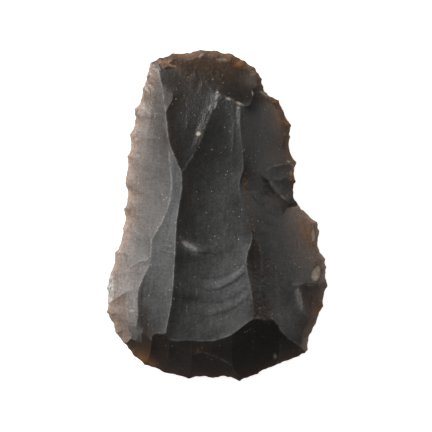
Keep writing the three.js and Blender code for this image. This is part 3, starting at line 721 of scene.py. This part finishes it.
def joinFaces():
    low = np.column_stack([ventralPlan, ventralHeight])
    high = np.column_stack([plan, height])
    below = len(high)
    faces = planTriangles.tolist()
    faces += [[a + below, c + below, b + below] for a, b, c in ventralTriangles.tolist()]
    count = len(loop)
    for i in range(count):
        following = (i + 1) % count
        faces.append([i + below, following + below, following, i])
    mesh = bpy.data.meshes.new("flint")
    mesh.from_pydata((np.vstack([high, low]) * mm).tolist(), [], faces)
    mesh.validate()
    mesh.shade_smooth()
    mesh.set_sharp_from_angle(angle=math.radians(stoneMesh["sharpAngle"]))
    return mesh


# How pale the stone is painted at each place near an arris: a painted highlight along the arris.
def arrisHighlight(places):
    points, strengths = [], []
    for (p, q), faces in facetEdges.items():
        if len(faces) == 2 and facetScar[faces[0]] != facetScar[faces[1]]:
            pair = names[facetScar[faces[0]]], names[facetScar[faces[1]]]
            strength = arrisPale.get(pair, arrisPale.get(pair[::-1], arrisPale["other"]))
            strength *= smoothStep(*arrisHighlightLine["bend"], bendOf(faces))
            a, b = upper.points[p, :2], upper.points[q, :2]
            for i in range(arrisHighlightLine["samples"]):
                points.append(a + (b - a) * i / arrisHighlightLine["samples"])
                strengths.append(strength)
    tree = treeOf(points)
    uneven = arrisHighlightLine["uneven"]
    broken = np.clip(arrisHighlightLine["even"] + uneven * softNoise(places, arrisHighlightLine["breakSize"], 80), 0, uneven)
    wearAndHighlight = np.zeros(len(places))
    for i, (x, y) in enumerate(places):
        _, index, away = tree.find((x, y, 0))
        wearAndHighlight[i] = strengths[index] * broken[i] * math.exp(-(away / arrisHighlightLine["width"]) ** 2)
    return wearAndHighlight


# How the tones lie on the stone. Sizes in mm.
tones = {
    "softBend": 4,            # degrees of a bend that tones still pass
    "facetRounds": 4,         # rounds that blend them over the facets of the solid
    "faceRounds": 40,         # and over the fine faces
    "thinFrom": 0.5,          # thickness of stone that lets light through fully
    "thinDepth": 1.8,         # how fast that fades where it is thicker
    "thinUneven": 0.35,
    "thinSize": 3,
    "amberShare": 0.6,        # strength of the brown light through thin stone
    "waver": 0.2,             # how uneven the rim of a patch is, as a share of it
    "waverSize": 0.8,
    "crispRim": (0.7, 1.15),  # share of a cream or pale patch from which it fades, and where it ends
    "bruise": (0.3, 0.55),    # noise between which a crushed place turns from brown to cream
    "bruiseSize": 0.4,
    "bruiseCream": 0.22,
    "bruiseUmber": 0.7,
    "ventralFilm": 0.4,
}


# Spreads the share that each face has in each scar to its neighbours, but hardly over an arris.
def blendShares(shares, triangles, facets, rounds):
    pairs = np.array([faces for faces in edgeMap(triangles).values() if len(faces) == 2])
    cosine = (upper.normals[facets[pairs[:, 0]]] * upper.normals[facets[pairs[:, 1]]]).sum(axis=1)
    bend = np.degrees(np.arccos(np.clip(cosine, -1, 1)))
    weight = np.tile(np.exp(-(bend / tones["softBend"]) ** 2), 2)
    here, there = pairs.T.ravel(), pairs[:, ::-1].T.ravel()
    total = 1 + np.bincount(here, weight, len(shares))
    for _ in range(rounds):
        for column in shares.T:
            column[:] = (column + np.bincount(here, weight * column[there], len(shares))) / total
    return shares


# The masks that the material reads, in the order in which they lie over each other. A layer's fourth
# mask is its alpha.
# The second layer holds the brown light through thin stone, cream specks and bruises, and pale, which is
# partly painted highlight.
layers = {"tone": ("film", "rose", "umber", "tan"), "wearAndHighlight": ("amber", "cream", "pale")}


# Writes how the surface looks at each corner of each face. Scars keep their own tone up to the arris, and
# pass into each other where an arris fades out.
def paintFaces(mesh):
    upperCount = len(planTriangles) * 3
    corner = np.empty(len(mesh.loops), int)
    mesh.loops.foreach_get("vertex_index", corner)
    centre = plan[planTriangles].mean(axis=1)
    _, facetOfFace = upper.read(centre)
    facets = np.arange(len(facetScar))
    facetShares = blendShares(np.eye(len(names))[facetScar], upper.triangles, facets, tones["facetRounds"])
    shares = blendShares(facetShares[facetOfFace], planTriangles, facetOfFace, tones["faceRounds"])
    shares = np.repeat(shares, 3, axis=0)
    upperCorner = corner[:upperCount]
    places = plan[upperCorner]
    masks = {key: np.zeros(len(mesh.loops)) for key in layers["tone"] + layers["wearAndHighlight"]}
    for key in ("film", "rose", "umber"):
        masks[key][:upperCount] = shares @ [scar[key] for scar in scars.values()]
    glow, warm = (shares @ [scar[key] for scar in scars.values()] for key in ("glow", "warm"))
    thickness = height - ventralOfPlan
    thin = np.exp(-np.maximum(thickness - tones["thinFrom"], 0) / tones["thinDepth"])
    thin *= 1 + tones["thinUneven"] * softNoise(plan, tones["thinSize"], 40)
    masks["tan"][:upperCount] = thin[upperCorner] * glow * (1 - warm)
    masks["amber"][:upperCount] = thin[upperCorner] * glow * warm * tones["amberShare"]
    # The pale mask starts as the painted highlight along the arrises.
    masks["pale"][:upperCount] = arrisHighlight(plan)[upperCorner]
    waver = tones["waver"] * softNoise(plan, tones["waverSize"], 60)[upperCorner]
    for key, rows in patches.items():
        for x, y, wide, tall, turn, amount, *scar in rows:
            radius = ovalRadius(places, x, y, wide, tall, turn) + waver
            if key in ("cream", "pale"):
                added = amount * (1 - smoothStep(*tones["crispRim"], radius))
            else:
                added = amount * np.exp(-np.maximum(radius, 0) ** 2)
            if scar:
                added = added * shares[:, names.index(scar[0])]
            masks[key][:upperCount] += added
    bruise = crushed * smoothStep(*tones["bruise"], softNoise(plan, tones["bruiseSize"], 120))
    masks["cream"][:upperCount] += tones["bruiseCream"] * bruise[upperCorner]
    masks["umber"][:upperCount] += tones["bruiseUmber"] * (crushed - bruise)[upperCorner]
    masks["film"][upperCount:] = tones["ventralFilm"]
    for name, keys in layers.items():
        values = np.ones((len(mesh.loops), 4))
        values[:, :len(keys)] = np.clip(np.stack([masks[key] for key in keys], axis=1), 0, 1)
        layer = mesh.color_attributes.new(name, "FLOAT_COLOR", "CORNER")
        layer.data.foreach_set("color", values.ravel())


stoneMeshData = joinFaces()
paintFaces(stoneMeshData)
flint = bpy.data.objects.new("flint", stoneMeshData)
bpy.context.scene.collection.objects.link(flint)
print("mesh:", len(stoneMeshData.polygons), "faces")


# Material

# Adds a node. Settings and links name its sockets, or give their number where two share a name.
def addNode(tree, kind, settings=None, links=None):
    node = tree.nodes.new(kind)
    for key, value in (settings or {}).items():
        if isinstance(key, int) or key in node.inputs:
            node.inputs[key].default_value = value
        else:
            setattr(node, key, value)
    for key, source in (links or {}).items():
        tree.links.new(source, node.inputs[key])
    return node


# Knapped flint is glassy silica, so a fresh scar is nearly black and thin edges let brown light
# through. Long burial leaves a grey film on the old scars, which the eye sees as a soft dull sheen.
knappedFlint = {
    "fresh": "#1b1a18",
    # film: grey patina, and in a few patches painted highlight.
    "film": "#626161",
    "rose": "#77685f",
    # umber: brown of fresh trimming and crushing, and in a few patches painted shade.
    "umber": "#33251b",
    "tan": "#a88f7e",
    "amber": "#86551f",
    "cream": "#b3a58f",
    # pale: paler stone in places, and painted highlight along the arrises and on a few lit crests.
    "pale": "#a39e99",
    "roughness": (0.31, 0.52),   # of a fresh scar and under the film
    "fullFilm": 0.5,             # film at which the surface is as dull as it gets
    "ior": 1.54,
    "mottleSize": 2.6,           # mm, cloudiness of the film
    "mottle": 0.3,
    "grainSize": 0.5,            # mm, coarser than real flint grain so that it shows
    "grain": 0.34,
    "streakSize": (0.6, 4.5),    # mm across and along the stone, of lines left by the flaking
    "streak": 0.2,
    "speckSpacing": 1.2,         # mm between tiny white specks of fossil shell
    "speckSize": 0.1,            # as a share of the spacing, coarser than real so that they show
    "speckEdge": (0.6, 1.4),     # share of its size from which a speck fades, and where it ends
    "speckStrength": 0.8,
    "speckGroup": 5,             # mm, how far apart the groups of specks are
    "speckShare": (0.42, 0.58),  # noise between which there are no specks and all of them
    "bumpSize": 0.35,            # mm, pitted look of broken flint, coarser than real so that it shows
    "bumpHeight": 0.04,
}
noiseReach = (0.25, 0.75)  # values between which nearly all of a noise texture lies


def makeKnappedFlint():
    material = bpy.data.materials.new("knappedFlint")
    material.use_nodes = True
    tree = material.node_tree
    tree.nodes.clear()
    place = addNode(tree, "ShaderNodeTexCoord").outputs["Object"]
    multiplied = {"operation": "MULTIPLY"}

    noises = {}
    for name, detail in (("mottleSize", 4), ("grainSize", 3), ("speckGroup", 4), ("bumpSize", 3)):
        settings = {"Scale": 1 / (knappedFlint[name] * mm), "Detail": detail}
        noises[name] = addNode(tree, "ShaderNodeTexNoise", settings, {"Vector": place}).outputs[0]
    across, along = knappedFlint["streakSize"]
    stretch = {**multiplied, 1: (1, across / along, 1)}
    links = {"Vector": addNode(tree, "ShaderNodeVectorMath", stretch, {0: place}).outputs[0]}
    settings = {"Scale": 1 / (across * mm), "Detail": 3}
    noises["streakSize"] = addNode(tree, "ShaderNodeTexNoise", settings, links).outputs[0]
    varied = {}
    for name in ("mottle", "grain", "streak"):
        amount = knappedFlint[name]
        settings = {"From Min": noiseReach[0], "From Max": noiseReach[1],
                    "To Min": 1 - amount, "To Max": 1 + amount}
        links = {"Value": noises[name + "Size"]}
        varied[name] = addNode(tree, "ShaderNodeMapRange", settings, links).outputs[0]

    masks = {}
    for name, keys in layers.items():
        attribute = addNode(tree, "ShaderNodeAttribute", {"attribute_name": name})
        parts = addNode(tree, "ShaderNodeSeparateColor", links={"Color": attribute.outputs["Color"]})
        masks.update(zip(keys, [*parts.outputs, attribute.outputs["Alpha"]]))
    links = {0: masks["film"], 1: varied["mottle"]}
    masks["film"] = addNode(tree, "ShaderNodeMath", multiplied, links).outputs[0]

    colour = None
    for name, mask in masks.items():
        settings = {"data_type": "RGBA", 6: toLinear(knappedFlint["fresh"]), 7: toLinear(knappedFlint[name])}
        links = {0: mask} if colour is None else {0: mask, 6: colour}
        colour = addNode(tree, "ShaderNodeMix", settings, links).outputs[2]

    spacing = {"Scale": 1 / (knappedFlint["speckSpacing"] * mm)}
    cells = addNode(tree, "ShaderNodeTexVoronoi", spacing, {"Vector": place})
    inner, outer = (knappedFlint["speckSize"] * share for share in knappedFlint["speckEdge"])
    settings = {"From Min": inner, "From Max": outer, "To Min": knappedFlint["speckStrength"], "To Max": 0}
    near = addNode(tree, "ShaderNodeMapRange", settings, {"Value": cells.outputs["Distance"]})
    bare, full = knappedFlint["speckShare"]
    groups = addNode(tree, "ShaderNodeMapRange", {"From Min": bare, "From Max": full},
                     {"Value": noises["speckGroup"]})
    grouped = addNode(tree, "ShaderNodeMath", multiplied, {0: near.outputs[0], 1: groups.outputs[0]})
    specks = addNode(tree, "ShaderNodeMix", {"data_type": "RGBA", 7: toLinear(knappedFlint["cream"])},
                     {0: grouped.outputs[0], 6: colour})

    lines = addNode(tree, "ShaderNodeMath", multiplied, {0: varied["grain"], 1: varied["streak"]})
    grained = addNode(tree, "ShaderNodeVectorMath", {"operation": "SCALE"},
                      {0: specks.outputs[2], "Scale": lines.outputs[0]})
    bump = addNode(tree, "ShaderNodeBump", {"Strength": 1, "Distance": knappedFlint["bumpHeight"] * mm},
                   {"Height": noises["bumpSize"]})
    fresh, filmed = knappedFlint["roughness"]
    roughness = addNode(tree, "ShaderNodeMapRange",
                        {"From Max": knappedFlint["fullFilm"], "To Min": fresh, "To Max": filmed},
                        {"Value": masks["film"]})
    shader = addNode(tree, "ShaderNodeBsdfPrincipled", {"IOR": knappedFlint["ior"]},
                     {"Base Color": grained.outputs[0], "Normal": bump.outputs[0],
                      "Roughness": roughness.outputs[0]})
    addNode(tree, "ShaderNodeOutputMaterial", links={"Surface": shader.outputs["BSDF"]})
    return material


flint.data.materials.append(makeKnappedFlint())
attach(flint, "root")
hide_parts("flint_scraper")


# Floor, light and camera

# The stone lies on a lit white table, so its shadows stay faint, and its steep dark scars don't mirror
# the table. The main light is low at the upper left, a weaker one at the upper right, and nothing above
# but a dim ceiling.
studio = {
    "floorSize": 4,     # metres, as are the places and sizes of the lights
    "floorColour": "#f4f4f3",
    "floorRoughness": 0.9,
    "floorGlow": 0.87,
    "floorDrop": 0.02,  # mm below the stone, so that the two don't share a plane
    "keyAt": (-1.1, 0.9, 0.6),
    "keySize": 1.4,
    "keyPower": 38,
    "fillAt": (1.1, 0.6, 0.6),
    "fillSize": 1.2,
    "fillPower": 3,
    "sky": 0.1,
}


def makeFloor():
    half = studio["floorSize"] / 2
    mesh = bpy.data.meshes.new("floor")
    corners = [(-half, -half, 0), (half, -half, 0), (half, half, 0), (-half, half, 0)]
    mesh.from_pydata(corners, [], [(0, 1, 2, 3)])
    floor = bpy.data.objects.new("floor", mesh)
    bpy.context.scene.collection.objects.link(floor)
    material = bpy.data.materials.new("paintedBoard")
    material.use_nodes = True
    shader = material.node_tree.nodes["Principled BSDF"]
    shader.inputs["Base Color"].default_value = toLinear(studio["floorColour"])
    shader.inputs["Roughness"].default_value = studio["floorRoughness"]
    shader.inputs["Specular IOR Level"].default_value = 0
    shader.inputs["Emission Color"].default_value = (1, 1, 1, 1)
    shader.inputs["Emission Strength"].default_value = studio["floorGlow"]
    mesh.materials.append(material)
    floor.location.z = -studio["floorDrop"] * mm
    floor.visible_glossy = False


def makeLight(name, at, size, power):
    light = bpy.data.lights.new(name, "AREA")
    light.shape = "DISK"
    light.size = size
    light.energy = power
    lamp = bpy.data.objects.new(name, light)
    lamp.location = at
    lamp.rotation_euler = (-Vector(at)).to_track_quat("-Z", "Y").to_euler()
    bpy.context.scene.collection.objects.link(lamp)


view = {
    "pixelSize": 0.24096,       # mm of the object in one pixel of the picture
    "imageSize": 432,
    "centre": (216.75, 215.5),  # pixel at which the middle of the outline shows
    "height": 0.9,              # metres of the camera above the floor
    "marginHeight": 1.5,        # mm above the floor at which the outline is measured
    "sensor": 36,               # mm
}


def makeCamera():
    camera = bpy.data.cameras.new("camera")
    camera.sensor_width = view["sensor"]
    span = view["pixelSize"] * view["imageSize"] * mm
    distance = view["height"] - view["marginHeight"] * mm
    camera.lens = view["sensor"] * distance / span
    viewer = bpy.data.objects.new("camera", camera)
    middle = view["imageSize"] / 2
    x = (middle - view["centre"][0]) * view["pixelSize"] * mm
    y = (view["centre"][1] - middle) * view["pixelSize"] * mm
    viewer.location = (x, y, view["height"])
    bpy.context.scene.collection.objects.link(viewer)
    bpy.context.scene.camera = viewer


makeFloor()
makeLight("key", studio["keyAt"], studio["keySize"], studio["keyPower"])
makeLight("fill", studio["fillAt"], studio["fillSize"], studio["fillPower"])
world = bpy.data.worlds.new("sky")
world.use_nodes = True
world.node_tree.nodes["Background"].inputs["Strength"].default_value = studio["sky"]
world.node_tree.nodes["Background"].inputs["Color"].default_value = (1, 1, 1, 1)
bpy.context.scene.world = world
bpy.context.scene.view_settings.view_transform = "Standard"
makeCamera()
print("floor, lights and camera made")
